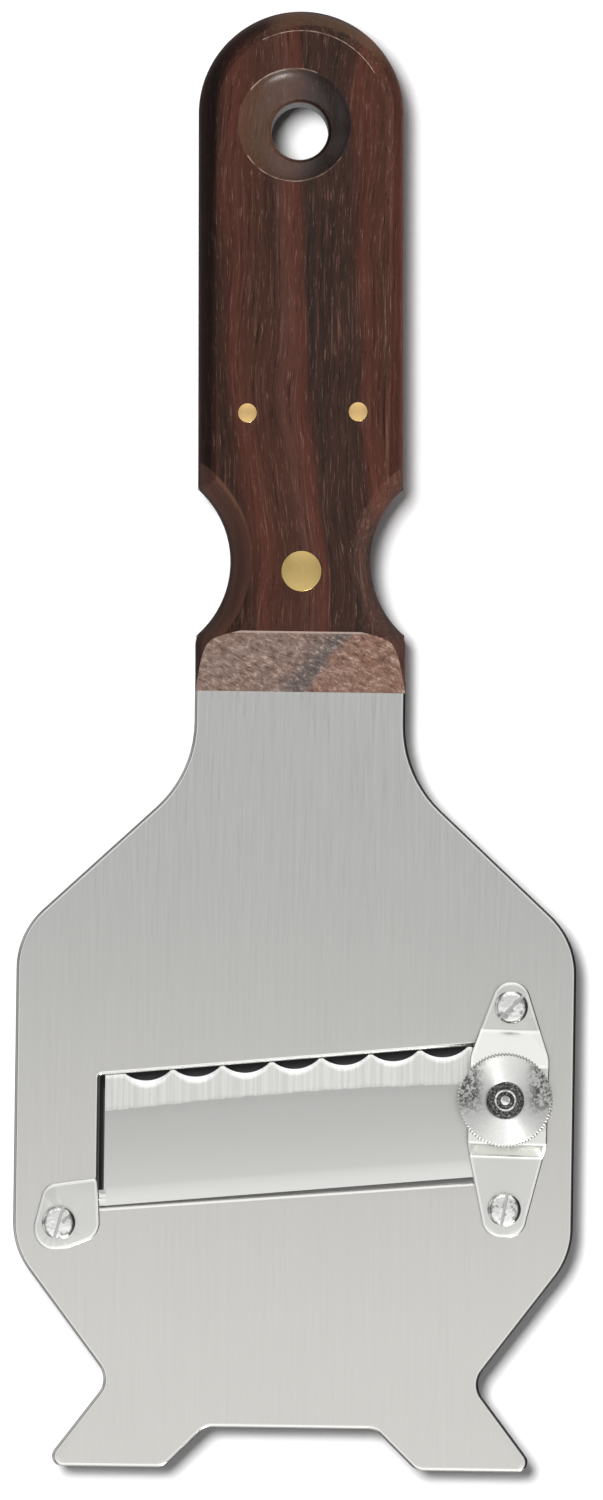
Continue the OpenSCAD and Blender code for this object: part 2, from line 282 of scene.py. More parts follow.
def prism_along_z(outline, start, end):
    """A closed prism with an outline of points (x, y)."""
    return closed_tube([[(*p, z) for p in outline] for z in (start, end)], "prism")


def arc(at, r, start, end, steps):
    """Points of an arc, with its ends, for angles in degrees."""
    turn = [math.radians(start + (end - start) * i / steps) for i in range(steps + 1)]
    return [(at[0] + r * math.cos(a), at[1] + r * math.sin(a)) for a in turn]


def circle(at, r, steps):
    return arc(at, r, 0, 360, steps)[:-1]


def drill(at, r, z0, z1):
    return prism_along_z(circle(at, r, 72), z0, z1)


def round_corner(a, b, c, r, steps=10):
    """Points of the rounded corner at b on the way from a to c."""
    to_a, to_c = (a - b).normalized(), (c - b).normalized()
    half = to_a.angle(to_c) / 2
    middle = b + (to_a + to_c).normalized() * r / math.sin(half)
    first = b + to_a * r / math.tan(half) - middle
    last = b + to_c * r / math.tan(half) - middle
    turn = math.copysign(math.pi - 2 * half, first.x * last.y - first.y * last.x)
    return [middle + Matrix.Rotation(turn * i / steps, 2) @ first for i in range(steps + 1)]


def rounded_outline(corners):
    """A closed outline with each corner (x, y, radius) rounded."""
    places = [Vector(corner[:2]) for corner in corners]
    outline = []
    for i, corner in enumerate(corners):
        outline += round_corner(places[i - 1], places[i], places[(i + 1) % len(places)], corner[2])
    return [tuple(point) for point in outline]


def clamp(x):
    return min(1, max(0, x))


def smoothstep(x, start, end):
    t = clamp((x - start) / (end - start))
    return t * t * (3 - 2 * t)


# ---- materials

class Nodes:
    """Makes and joins the nodes of one tree."""

    def __init__(self, tree):
        self.tree = tree

    def feed(self, socket, value):
        """Links another socket to this one, or sets its constant."""
        if isinstance(value, bpy.types.NodeSocket):
            self.tree.links.new(value, socket)
        else:
            socket.default_value = value

    def node(self, kind, inputs=None, **settings):
        """A node with these settings. Its inputs are {name or number: socket or constant}."""
        made = self.tree.nodes.new(kind)
        for name, value in settings.items():
            setattr(made, name, value)
        for place, value in (inputs or {}).items():
            self.feed(made.inputs[place], value)
        return made

    def combine(self, operation, *values):
        return self.node("ShaderNodeMath", dict(enumerate(values)), operation=operation).outputs[0]

    def vector_math(self, operation, *values):
        made = self.node("ShaderNodeVectorMath", dict(enumerate(values)), operation=operation)
        return made.outputs["Value" if operation in ("LENGTH", "DOT_PRODUCT") else "Vector"]

    def product(self, first, *others):
        for other in others:
            first = self.combine("MULTIPLY", first, other)
        return first

    def axes(self, vector):
        return self.node("ShaderNodeSeparateXYZ", {0: vector}).outputs[:3]

    def ramp(self, value, *stops):
        """Colours (position, (r, g, b)) read along a value from 0 to 1."""
        made = self.node("ShaderNodeValToRGB", {"Fac": value})
        elements = made.color_ramp.elements
        while len(elements) < len(stops):
            elements.new(1)
        for element, (position, color) in zip(elements, stops):
            element.position = position
            element.color = (*color, 1)
        return made.outputs["Color"]


class Finish(Nodes):
    """A material made of nodes over the object's own coordinates, which are scaled to mm."""

    def __init__(self, name, color, **sockets):
        self.material = bpy.data.materials.new(name)
        self.material.use_nodes = True
        super().__init__(self.material.node_tree)
        self.shader = self.tree.nodes["Principled BSDF"]
        self.shader.inputs["Base Color"].default_value = (*color, 1)
        for socket, value in sockets.items():
            self.shader.inputs[socket.replace("_", " ")].default_value = value
        self.place = self.node("ShaderNodeTexCoord").outputs["Object"]

    def coords(self, x=1, y=1, z=1, turn=0, shift=None):
        """Object coordinates in mm, times x, y and z, after a turn about Z in degrees."""
        source = self.vector_math("ADD", self.place, shift) if shift else self.place
        scale = tuple(MM / max(s, 1e-6) for s in (x, y, z))
        inputs = {"Vector": source, "Scale": scale, "Rotation": (0, 0, math.radians(turn))}
        return self.node("ShaderNodeMapping", inputs, vector_type="TEXTURE").outputs["Vector"]

    def noise(self, x, y=None, z=None, detail=3, roughness=0.55, turn=0, shift=None):
        """Noise with about x cells a mm along X, y along Y and z along Z, which are x if not given."""
        place = self.coords(x, x if y is None else y, x if z is None else z, turn, shift)
        inputs = {"Vector": place, "Scale": 1, "Detail": detail, "Roughness": roughness}
        return self.node("ShaderNodeTexNoise", inputs).outputs["Fac"]

    def spread(self, value, from_low, from_high, to_low=0.0, to_high=1.0):
        """A range of the value mapped smoothly to another range, and level beyond its ends."""
        ends = {"From Min": from_low, "From Max": from_high, "To Min": to_low, "To Max": to_high}
        made = self.node("ShaderNodeMapRange", {"Value": value, **ends}, interpolation_type="SMOOTHSTEP")
        return made.outputs["Result"]

    def mix(self, share, first, second, blend="MIX"):
        """Two colours, each a socket or (r, g, b), mixed by a socket or a number."""
        inputs = {0: share}
        for place, color in ((6, first), (7, second)):
            inputs[place] = (*color, 1) if isinstance(color, tuple) else color
        return self.node("ShaderNodeMix", inputs, data_type="RGBA", blend_type=blend).outputs[2]

    def layer(self, tone, *layers):
        """Lays colours over a tone: (value, where it starts to show, where it shows most, share, colour)."""
        for value, start, full, share, color in layers:
            tone = self.mix(self.spread(value, start, full, 0, share), tone, color)
        return tone

    def bump(self, height, strength, distance):
        """Stacks one more layer of relief, its depth in mm."""
        inputs = {"Height": height, "Strength": strength, "Distance": distance * MM}
        normal = self.shader.inputs["Normal"]
        if normal.links:
            inputs["Normal"] = normal.links[0].from_socket
        self.feed(normal, self.node("ShaderNodeBump", inputs).outputs["Normal"])

    def paint(self, color):
        self.feed(self.shader.inputs["Base Color"], color)

    def painted(self):
        return self.shader.inputs["Base Color"].links[0].from_socket

    def dull(self, roughness):
        self.feed(self.shader.inputs["Roughness"], roughness)


def scaled(color, factor):
    return tuple(c * factor for c in color)


def brushed_steel(name, color, roughness, contrast, relief):
    """Sheet steel with fine lines along Y."""
    steel = Finish(name, color, Metallic=1.0)
    lines = steel.noise(5.0, 0.05, detail=4, roughness=0.7)
    patches = steel.noise(0.05, detail=2)
    tone = steel.ramp(lines, (0.3, scaled(color, 1 - contrast)), (0.7, scaled(color, 1 + contrast)))
    steel.paint(steel.layer(tone, (patches, 0.3, 0.7, 0.35, scaled(color, 0.97))))
    steel.dull(steel.spread(lines, 0.3, 0.7, roughness - 0.02, roughness + 0.02))
    steel.bump(lines, 0.5, relief)
    return steel


def polished_steel(name, color, roughness, scratch):
    """Turned or burnished steel with faint random scratches."""
    steel = Finish(name, color, Metallic=1.0)
    marks = steel.noise(3.0, detail=6, roughness=0.75)
    steel.paint(steel.ramp(marks, (0.3, scaled(color, 0.985)), (0.7, color)))
    steel.dull(steel.spread(marks, 0.3, 0.75, roughness - 0.01, roughness + 0.02))
    steel.bump(marks, 0.4, scratch)
    return steel


def plate_steel():
    """Brushed steel with short strokes that fade towards the feet, and a painted reflection that makes it
    brighter and warmer towards the feet.
    """
    steel = brushed_steel("plate_steel", (0.602, 0.602, 0.578), 0.2, 0.02, 0.0003)
    y = steel.axes(steel.coords())[1]
    strokes = steel.noise(2.4, 0.085, detail=5, roughness=0.7)
    strength = steel.spread(y, 12, -45, 1.0, 0.15)
    deep = steel.product(strength, steel.spread(strokes, 0.48, 0.34, 0, 0.9))
    pale = steel.product(strength, steel.spread(strokes, 0.52, 0.66, 0, 0.9))
    tone = steel.mix(deep, steel.painted(), (0.90, 0.895, 0.885), "MULTIPLY")
    tone = steel.mix(pale, tone, (1.07, 1.07, 1.07), "MULTIPLY")
    # Painted reflection: the colour grows brighter and warmer towards the feet.
    steel.paint(steel.mix(steel.spread(y, -15, -95), tone, (1.255, 1.23, 1.205), "MULTIPLY"))
    return steel.material


def blade_steel():
    return brushed_steel("blade_steel", (0.665, 0.665, 0.635), 0.18, 0.01, 0.0002).material


def ground_steel():
    """The blade's bevel, with upright grinding marks of uneven width."""
    steel = Finish("ground_steel", (0.7, 0.7, 0.68), Metallic=1.0, Roughness=0.24)
    marks = steel.noise(2.0, 0.03, 0.1, detail=2, roughness=0.5)
    steel.paint(steel.ramp(marks, (0.38, (0.755, 0.76, 0.715)), (0.5, (0.80, 0.805, 0.76)),
                           (0.62, (0.855, 0.86, 0.82))))
    steel.bump(marks, 0.4, 0.001)
    return steel.material


def honed_steel():
    """The honed hollows behind the wavy edge, painted near white as their highlight."""
    return polished_steel("honed_steel", (0.98, 0.98, 0.98), 0.35, 0.0001).material


def bright_steel():
    return polished_steel("bright_steel", (0.775, 0.78, 0.735), 0.24, 0.0001).material


def rim_steel():
    """The dressed rims of the plate, the clip and the bridge, painted near white as a highlight line."""
    return polished_steel("rim_steel", (0.97, 0.98, 0.95), 0.3, 0.0001).material


def screw_steel():
    """Polished, with stains and with shallow dents that break up its reflections."""
    steel = polished_steel("screw_steel", (0.90, 0.90, 0.87), 0.2, 0.0003)
    steel.paint(steel.layer(steel.painted(), (steel.noise(0.55), 0.51, 0.57, 0.7, (0.3, 0.3, 0.28))))
    steel.bump(steel.noise(0.6, detail=2), 1.0, 0.12)
    return steel.material


def slot_steel():
    return polished_steel("slot_steel", (0.72, 0.72, 0.7), 0.4, 0.001).material


def wheel_steel():
    """Faced on a lathe: the lines run round the axis, so the gloss fans out in two bright sectors. Its top
    is darkened with painted shade, and painted dark reflections lie as spots on its left and right.
    """
    steel = Finish("wheel_steel", (0.72, 0.72, 0.72), Metallic=1.0, Anisotropic=0.85, Roughness=0.4)
    off = steel.vector_math("SUBTRACT", steel.coords(z=0), (*WHEEL_AT, 0))
    x, y, _ = steel.axes(off)
    outward = steel.node("ShaderNodeVectorTransform", {0: off}, vector_type="VECTOR",
                         convert_from="OBJECT", convert_to="WORLD")
    steel.feed(steel.shader.inputs["Tangent"], outward.outputs[0])
    marks = steel.noise(2.5, detail=5, roughness=0.7)
    tone = steel.ramp(marks, (0.3, (0.80, 0.80, 0.765)), (0.7, (0.94, 0.94, 0.905)))
    # Painted shade: darker towards the top of the wheel.
    tone = steel.layer(tone, (y, 0, 5, 0.6, (0.68, 0.68, 0.65)))
    # Painted dark reflections: spots on the left and right sectors, fading out below the middle.
    beside = steel.spread(steel.combine("ABSOLUTE", x), 2.6, 5.0)
    spots = steel.spread(steel.noise(1.6, detail=6, roughness=0.8), 0.44, 0.55, 0, 0.9)
    painted_dark_reflection = steel.product(beside, spots, steel.spread(y, -3.0, 0.5))
    steel.paint(steel.mix(painted_dark_reflection, tone, (0.07, 0.07, 0.065)))
    lathe_lines = steel.node("ShaderNodeTexNoise", {"Scale": 7}, noise_dimensions="1D")
    steel.feed(lathe_lines.inputs["W"], steel.vector_math("LENGTH", off))
    steel.bump(lathe_lines.outputs["Fac"], 0.5, 0.004)
    return steel.material


def recess_steel():
    """Steel in the wheel's recess and in the hollow of the screw's end, painted nearly black as shade, with
    pale specks as painted glints.
    """
    steel = Finish("recess_steel", (0.2, 0.2, 0.2), Metallic=1.0)
    marks = steel.noise(3.0, detail=5, roughness=0.8)
    steel.paint(steel.ramp(marks, (0.40, (0.03, 0.03, 0.03)), (0.54, (0.14, 0.14, 0.135)),
                           (0.64, (0.8, 0.8, 0.78))))
    steel.dull(steel.spread(marks, 0.3, 0.7, 0.3, 0.55))
    steel.bump(marks, 0.6, 0.05)
    return steel.material


def brass(name, color):
    """Ground flush with the wood: fine slanting marks and slightly duller patches."""
    finish = Finish(name, color, Metallic=1.0)
    marks = finish.noise(5.0, 0.6, detail=5, roughness=0.7, turn=20)
    tone = finish.ramp(marks, (0.3, scaled(color, 0.93)), (0.7, color))
    finish.paint(finish.layer(tone, (finish.noise(0.35), 0.5, 0.75, 0.6, scaled(color, 0.8))))
    finish.dull(finish.spread(marks, 0.3, 0.7, 0.26, 0.34))
    finish.bump(marks, 0.4, 0.001)
    return finish.material


WOOD_BLACK = (0.009, 0.006, 0.005)
WOOD_DARK = (0.022, 0.014, 0.011)
WOOD_GREY = (0.027, 0.019, 0.016)
WOOD_BROWN = (0.050, 0.024, 0.017)
WOOD_RED = (0.088, 0.031, 0.022)
WOOD_PINK = (0.086, 0.040, 0.031)
WOOD_LIGHT = (0.20, 0.105, 0.08)
BANDS_MIDDLE = 7.4
BANDS_HALF = 20
BANDS_SWAY = 3.2


def painted_bevel_shading_masks(wood):
    """Masks for painted shade on the front bevel's left and right parts, and for painted light on its top
    part and on the finger notches' bevels, most on the left notch.
    """
    x, y, z = wood.axes(wood.coords())
    beyond = wood.combine("MAXIMUM", wood.combine("SUBTRACT", y, WOOD_END_Y), 0)
    flat = wood.node("ShaderNodeCombineXYZ", {"X": x, "Y": beyond})
    reach = wood.vector_math("LENGTH", flat.outputs["Vector"])
    inner = WOOD_W / 2 - BEVEL_W
    in_front = wood.spread(z, 12.5, 15.5)
    outside = wood.product(wood.spread(reach, inner, inner + 0.5), in_front)
    outermost = wood.product(wood.spread(reach, inner + 0.6, inner + 1.9), in_front)

    either_side = wood.vector_math("ABSOLUTE", wood.coords(z=0))
    off = wood.vector_math("SUBTRACT", either_side, (NOTCH_AT[0], NOTCH_AT[1] + PIVOT_Y, 0))
    notch_r = FINGER_R + BEVEL_W
    near_notch = wood.spread(wood.vector_math("LENGTH", off), notch_r + 0.45, notch_r - 0.05)
    notch = wood.product(near_notch, in_front)
    no_notch = wood.spread(notch, 0.6, 0)
    left = wood.product(outermost, no_notch, wood.spread(x, -3, -9))
    right = wood.product(outside, no_notch, wood.spread(x, 7, 13))
    top = wood.product(outside, wood.spread(y, 99, 105), wood.spread(x, -8, -3))
    return left, right, top, wood.product(notch, wood.spread(x, 6, -6, 0.3, 1.0))


def rosewood(name, gloss, roughness, dish_shading_and_grain=0.0):
    """Oiled rosewood: broad dark and red bands, finer streaks, pale fibres and dark open pores, with painted
    light and shade on the bevels.
    """
    wood = Finish(name, WOOD_BROWN, Specular_IOR_Level=gloss)
    drift = wood.noise(0.03, 0.016, detail=2)
    aside = wood.spread(drift, 0.2, 0.8, -BANDS_SWAY * MM, BANDS_SWAY * MM)
    sway = wood.node("ShaderNodeCombineXYZ", {"X": aside}).outputs["Vector"]

    across = wood.vector_math("DOT_PRODUCT", wood.coords(shift=sway), (1, 0.053, 0))
    place = wood.combine("MULTIPLY_ADD", across, 0.5 / BANDS_HALF, 0.5 - 0.5 * BANDS_MIDDLE / BANDS_HALF)
    bands = wood.ramp(place, (0.00, WOOD_BROWN), (0.12, WOOD_DARK), (0.19, WOOD_RED), (0.27, WOOD_BROWN),
                      (0.33, WOOD_BROWN), (0.37, WOOD_PINK), (0.43, WOOD_RED), (0.47, WOOD_GREY),
                      (0.64, WOOD_GREY), (0.69, WOOD_RED), (0.76, WOOD_BROWN), (0.83, WOOD_RED),
                      (0.92, WOOD_BROWN))
    streaks = wood.noise(0.5, 0.02, 0.4, detail=5, roughness=0.62, shift=sway)
    grain = wood.ramp(streaks, (0.34, WOOD_BLACK), (0.44, WOOD_BROWN), (0.54, WOOD_RED),
                      (0.62, WOOD_BROWN), (0.70, WOOD_DARK))
    tone = wood.mix(0.3, bands, grain)

    fine = wood.noise(2.2, 0.07, 2.0, detail=6, roughness=0.72, shift=sway)
    fibres = wood.noise(4.6, 0.3, 4.0, detail=5, roughness=0.7, shift=sway)
    # Painted shade on the left and right bevels, painted light on the top bevel and the notch bevels.
    left, right, top, notch = painted_bevel_shading_masks(wood)
    tone = wood.layer(
        tone, (fine, 0.46, 0.32, 0.75, WOOD_BLACK), (fine, 0.54, 0.70, 0.5, WOOD_LIGHT),
        (fibres, 0.56, 0.70, 0.6, (0.26, 0.15, 0.12)), (fibres, 0.42, 0.32, 0.8, (0.010, 0.007, 0.006)),
        (notch, 0, 1, 0.65, (0.14, 0.066, 0.048)), (left, 0, 1, 0.6, (0.012, 0.007, 0.007)),
        (right, 0, 1, 0.6, (0.03, 0.009, 0.006)), (top, 0, 1, 0.5, (0.105, 0.062, 0.036)))
    if dish_shading_and_grain:
        # Across the dish: painted light on its left wall and painted shade on its right wall, where the
        # grain's dark band also passes.
        side = wood.spread(wood.axes(wood.coords())[0], DISH_AT.x - 6, DISH_AT.x + 6)
        tone = wood.mix(dish_shading_and_grain, tone, wood.mix(side, (0.09, 0.05, 0.031), (0.008, 0.006, 0.006)))
    wood.paint(tone)
    wood.dull(wood.spread(fine, 0.3, 0.7, roughness - 0.06, roughness + 0.08))
    wood.bump(fine, 0.35, 0.04)
    wood.bump(wood.spread(fibres, 0.42, 0.32), -0.5, 0.05)
    return wood.material


def worn_edge():
    """Painted highlights along the creases of the bevel and the dish, pale and matt, broken up by noise."""
    wood = Finish("worn_edge", (0.2, 0.13, 0.1), Roughness=0.7)
    highlight_breaks = wood.noise(0.8, detail=4)
    wood.paint(wood.ramp(highlight_breaks, (0.35, (0.07, 0.035, 0.025)), (0.6, (0.33, 0.23, 0.18))))
    return wood.material


def end_grain():
    """The sanded slope at the wood's lower end: pale, dry and rough, with a dark slanting streak."""
    wood = Finish("end_grain", (0.3, 0.2, 0.16), Specular_IOR_Level=0.15)
    specks = wood.noise(0.7, 1.4, detail=7, roughness=0.82, turn=-28)
    cloud = wood.noise(0.3, detail=4)
    slanting = wood.vector_math("DOT_PRODUCT", wood.coords(), (1, -0.8, 0))
    place = wood.combine("MULTIPLY_ADD", cloud, 6, slanting)
    middle = -3.7
    streak = wood.product(wood.spread(place, middle - 4.5, middle - 0.5),
                          wood.spread(place, middle, middle + 2.2, 1, 0))
    tone = wood.layer((0.23, 0.162, 0.135), (place, middle, middle + 3, 1, (0.25, 0.138, 0.098)),
                      (wood.noise(0.13, detail=2), 0.4, 0.65, 0.5, (0.24, 0.142, 0.11)))
    tone = wood.mix(streak, tone, (0.125, 0.102, 0.095))
    height = wood.axes(wood.coords())[2]
    wood.paint(wood.layer(tone, (specks, 0.51, 0.36, 0.85, (0.06, 0.036, 0.03)),
                          (specks, 0.51, 0.64, 0.8, (0.53, 0.40, 0.335)),
                          (height, WOOD_TOP - 0.35, WOOD_TOP - 0.15, 0.8, (0.5, 0.38, 0.33))))
    wood.dull(wood.spread(specks, 0.3, 0.7, 0.65, 0.85))
    wood.bump(specks, 0.8, 0.2)
    return wood.material


PLATE_STEEL = plate_steel()
BLADE_STEEL = blade_steel()
GROUND_STEEL = ground_steel()
HONED_HIGHLIGHT_STEEL = honed_steel()
BRIGHT_STEEL = bright_steel()
RIM_HIGHLIGHT_STEEL = rim_steel()
SCREW_STEEL = screw_steel()
SLOT_STEEL = slot_steel()
WHEEL_STEEL = wheel_steel()
RECESS_SHADE_STEEL = recess_steel()
RIVET_BRASS = brass("brass", (0.64, 0.465, 0.18))
PIN_BRASS = brass("pin_brass", (0.84, 0.57, 0.245))
ROSEWOOD = rosewood("rosewood", 0.05, 0.5)
DISH_WOOD = rosewood("dish_wood", 0.42, 0.28, dish_shading_and_grain=0.5)
CREASE_HIGHLIGHT = worn_edge()
END_GRAIN = end_grain()


# ---- the blade's own frame

BLADE_SLOPE = math.radians(5.25)
SPINE_V = 0.2
EAR_V = 1.4
TIP_V = 19.7
WINDOW = sorted(face_loops("plate", PLATE_LOW), key=lambda loop: -abs(area(loop)))[1]
WINDOW_LEFT = min(p[0] for p in WINDOW)
WINDOW_RIGHT = max(p[0] for p in WINDOW)
WINDOW_LOW_Y = min(p[1] for p in WINDOW)


def from_blade(u, v, z):
    """Place of a point at u along the spine and v towards the tips."""
    return (WINDOW_LEFT + u * math.cos(BLADE_SLOPE) - v * math.sin(BLADE_SLOPE),
            WINDOW_LOW_Y + u * math.sin(BLADE_SLOPE) + v * math.cos(BLADE_SLOPE), z)


def u_at(x, v):
    """Place along the spine of the line at a given x across the plate."""
    return (x - WINDOW_LEFT + v * math.sin(BLADE_SLOPE)) / math.cos(BLADE_SLOPE)


# ---- plate

GROOVE_R = 0.55
GROOVE_Z = PLATE_TOP - GROOVE_R


def groove_cutter(u0, u1):
    """An open groove along the spine, as a long cutter with a round floor."""
    top = PLATE_TOP + 1
    section = arc((EAR_V, GROOVE_Z), GROOVE_R, 180, 360, 12)
    section += [(EAR_V + GROOVE_R, top), (EAR_V - GROOVE_R, top)]
    return closed_tube([[from_blade(u, v, z) for v, z in section] for u in (u0, u1)], "groove")


def build_plate():
    bm = sheet_solid(face_loops("plate", PLATE_LOW), PLATE_LOW, PLATE_TOP, 0.4, 3, 0.12, 0.015)
    blank = to_mesh(bm, "plate_blank")
    for material in (PLATE_STEEL, RIM_HIGHLIGHT_STEEL):
        blank.materials.append(material)
    grooves = [groove_cutter(-2.95, 1), groove_cutter(u_at(WINDOW_RIGHT, EAR_V) - 1, 66.65)]
    mesh = cut(blank, grooves, "plate_sheet")
    smooth(mesh, 50)
    piece = to_object(mesh)
    keep_flats(piece)
    stand_for(piece, "slicer", "plate_steel", "plate")


# ---- handle

# The bevel's section: share of its width still to go, and depth below the face at the lower end and above.
BEVEL_SECTION = [(1.0, 0.0, 0.0), (0.955, 0.06, 0.06), (0.90, 0.13, 0.16), (0.82, 0.26, 0.32),
                 (0.68, 0.5, 0.62), (0.54, 0.9, 1.0), (0.42, 1.4, 1.42), (0.32, 2.1, 1.9),
                 (0.23, 3.0, 2.6), (0.14, 4.6, 3.5), (0.06, 6.4, 4.8), (0.0, 8.0, 7.0)]
# How much wider the bevel is beside the notches, at the lower end, and round the top.
WIDER_AT_NOTCH = 0.45
WIDER_AT_LOW_END = 2.35
WIDER_AT_TOP = 0.65
# The dish's section: radius, depth, and share of the way from the dish's middle to the hole's.
DISH_SECTION = [(DISH_R, 0.0, 0), (8.36, 0.07, 0), (8.2, 0.22, 0), (7.9, 0.54, 0), (7.5, 0.86, 0),
                (7.0, 1.17, 0.1), (6.5, 1.4, 0.25), (6.1, 1.54, 0.4), (5.7, 1.65, 0.6), (5.3, 1.74, 0.85),
                (5.0, 1.81, 1), (4.75, 1.92, 1), (4.5, 2.18, 1), (4.33, 2.6, 1), (4.25, 3.2, 1),
                (4.25, 5.5, 1)]
PLAY = 0.03
PAST = 1.0


def from_handle(x, y):
    return (x * math.cos(LEAN) - y * math.sin(LEAN), PIVOT_Y + x * math.sin(LEAN) + y * math.cos(LEAN))


def corner_between(side_x, r, up):
    """Centre of the round that joins the side at side_x to the finger notch, above or below it."""
    reach = math.sqrt((FINGER_R + r) ** 2 - (NOTCH_AT[0] - side_x + r) ** 2)
    return side_x - r, NOTCH_AT[1] + (reach if up else -reach)


def bearing(start, end):
    """Direction from one point to another, in degrees from 0 to 360."""
    return math.degrees(math.atan2(end[1] - start[1], end[0] - start[0])) % 360


def handle_half(d):
    """The wood's right side from its lower end to the top, moved inward by d."""
    low_x, side_x = WOOD_LOW_W / 2, WOOD_W / 2
    low_at = corner_between(low_x, LOWER_CORNER_R, False)
    high_at = corner_between(side_x, UPPER_CORNER_R, True)
    if d > UPPER_CORNER_R:
        # The corner's round is used up, so the side meets the notch at a point.
        reach = math.sqrt((FINGER_R + d) ** 2 - (NOTCH_AT[0] - side_x + d) ** 2)
        high_at = (side_x - d, NOTCH_AT[1] + reach)
    to_low, to_high = bearing(NOTCH_AT, low_at), bearing(NOTCH_AT, high_at)
    points = [(low_x - d, y) for y in (-8, -4, -1, 2, 5)]
    points += arc(low_at, LOWER_CORNER_R - d, 0, to_low - 180, 6)
    points += arc(NOTCH_AT, FINGER_R + d, to_low, to_high, 40)[1:-1]
    points += arc(high_at, max(UPPER_CORNER_R - d, 0.02), to_high - 180, 0, 6)
    first, last = high_at[1], (WOOD_END_Y - PIVOT_Y) / math.cos(LEAN)
    points += [(side_x - d, first + (last - first) * i / 14) for i in range(1, 14)]
    points += arc((0, last), side_x - d, 0, 90, 30)
    return points


def handle_ring(share, low_depth, high_depth, from_top):
    """One ring of the wood's outline, at a depth below the front face or above the back one."""
    half = handle_half(share * BEVEL_W)
    ring = []
    for x, y in half + [(-x, y) for x, y in half[-2::-1]]:
        y -= WIDER_AT_TOP * share * smoothstep(y, 70, 96)
        low_end = 1 - smoothstep(y, 10.5, 17.5)
        wider = WIDER_AT_NOTCH + (WIDER_AT_LOW_END - WIDER_AT_NOTCH) * low_end
        wider *= share * (1 - smoothstep(y, 26, 32))
        depth = high_depth + (low_depth - high_depth) * low_end
        x -= math.copysign(min(wider, abs(x)), x)
        ring.append((*from_handle(x, y), WOOD_TOP - depth if from_top else depth))
    return ring


def dish_rings():
    """From the dish's rim down its hollow, over the lip of the hole, and the same on the back."""
    rings = []
    for r, depth, share in DISH_SECTION:
        rings.append([(x, y, WOOD_TOP - depth) for x, y in circle(DISH_AT.lerp(HANG_AT, share), r, 96)])
    back = [[(x, y, WOOD_TOP - z) for x, y, z in ring] for ring in rings]
    return rings + back[::-1]


def ramp_cutter():
    """A prism across the wood that leaves its sloping lower end on both faces."""
    end, far = RAMP_LOW_Y + RAMP_L * (1 + PAST / (WOOD_TOP - PLATE_TOP)), RAMP_LOW_Y - 20
    outline = [(far, -PAST), (end, -PAST), (RAMP_LOW_Y, PLATE_LOW), (RAMP_LOW_Y, PLATE_TOP),
               (end, WOOD_TOP + PAST), (far, WOOD_TOP + PAST)]
    return prism_along_x(outline, -30, 30)


def kerf_cutter():
    """The space of the plate's tang."""
    end = KERF_END_Y + PIVOT_Y
    outline = [(-30, PLATE_LOW), (end, PLATE_LOW), (end, PLATE_TOP), (-30, PLATE_TOP)]
    return prism_along_x(outline, -30, 30)


def wood_slot(face):
    """0 for the oiled wood, 1 for the sanded slope, 2 for the dish and 3 for the painted highlights on the
    creases.
    """
    at = face.center / MM
    if at.y < RAMP_LOW_Y + RAMP_L + 0.1 and face.normal.y < -0.5 and abs(face.normal.z) > 0.5:
        return 1
    below = WOOD_TOP - at.z
    off = at.xy - DISH_AT
    from_rim = off.length - DISH_R
    # Crease faces that get the painted highlight: the bevel's top right arc, and the lower and upper left
    # parts of the dish's rim.
    bevel_crease = 0.01 < below < 0.05 and from_rim > 0.1 and at.y > 100 and at.x > -7
    dish_crease = -0.1 < from_rim < -0.01 and below < 1 and (off.y < -4.5 or off.y > 5 and off.x < 3)
    if bevel_crease or dish_crease:
        return 3
    return 2 if from_rim < -0.05 else 0


def build_handle():
    fronts = [handle_ring(*station, True) for station in BEVEL_SECTION]
    backs = [handle_ring(*station, False) for station in BEVEL_SECTION]
    bm = bmesh.new()
    outside = add_rings(bm, fronts + backs[::-1])
    inside = add_rings(bm, dish_rings())
    for end in (0, -1):
        fill_between(bm, [outside[end], inside[end]])
    cutters = [ramp_cutter(), kerf_cutter()]
    for node in ("left_pin", "right_pin", "rivet_front"):
        cutters.append(drill(centre(node).xy, radius_of(node) + PLAY, -PAST, WOOD_TOP + PAST))
    mesh = cut(to_mesh(bm, "wood_blank"), cutters, "wood_handle")
    smooth(mesh, 22)
    mesh.materials.clear()
    piece = to_object(mesh, ROSEWOOD, END_GRAIN, DISH_WOOD, CREASE_HIGHLIGHT)
    keep_flats(piece)
    for face in mesh.polygons:
        face.material_index = wood_slot(face)
    stand_for(piece, "slicer", "rosewood", "handle")


# ---- pins and rivet

def build_pins():
    for node in ("left_pin", "right_pin"):
        profile = rounded_profile(radius_of(node), low(node).z, high(node).z, 0.08)
        mesh = turned(profile, centre(node).xy, node + "_brass", 64)
        stand_for(to_object(mesh, PIN_BRASS), "slicer", "brass", node)


def build_rivet():
    """Two flush heads: the front one with a stem, the back one with the sleeve that takes it."""
    r = radius_of("rivet_front")
    head, stem_r, sleeve_r, bore_r, centre_r = 3.0, 1.5, 2.2, 1.55, 0.02
    stem_end, sleeve_end = head + 1, high("rivet_back").z
    front = [(stem_r, stem_end), (stem_r, WOOD_TOP - head)]
    front += rounded_profile(r, WOOD_TOP - head, WOOD_TOP, 0.1)
    back = [(centre_r, 0)] + rounded_profile(r, 0, head, 0.1)
    back += [(sleeve_r, head), (sleeve_r, sleeve_end), (bore_r, sleeve_end), (bore_r, stem_end)]
    back.append((centre_r, stem_end))
    for node, profile, closed in (("rivet_front", front, False), ("rivet_back", back, True)):
        mesh = turned(profile, RIVET_AT, node + "_brass", closed=closed)
        stand_for(to_object(mesh, RIVET_BRASS), "slicer", "brass", node)


# ---- slotted screws

STRIP_THICK = 1.5
SHANK_R = 1.5
HEAD_FLAT_R = 1.7
DOME_H = 0.5
SLOT_DEPTH = 0.75
SLOT_W = 0.45


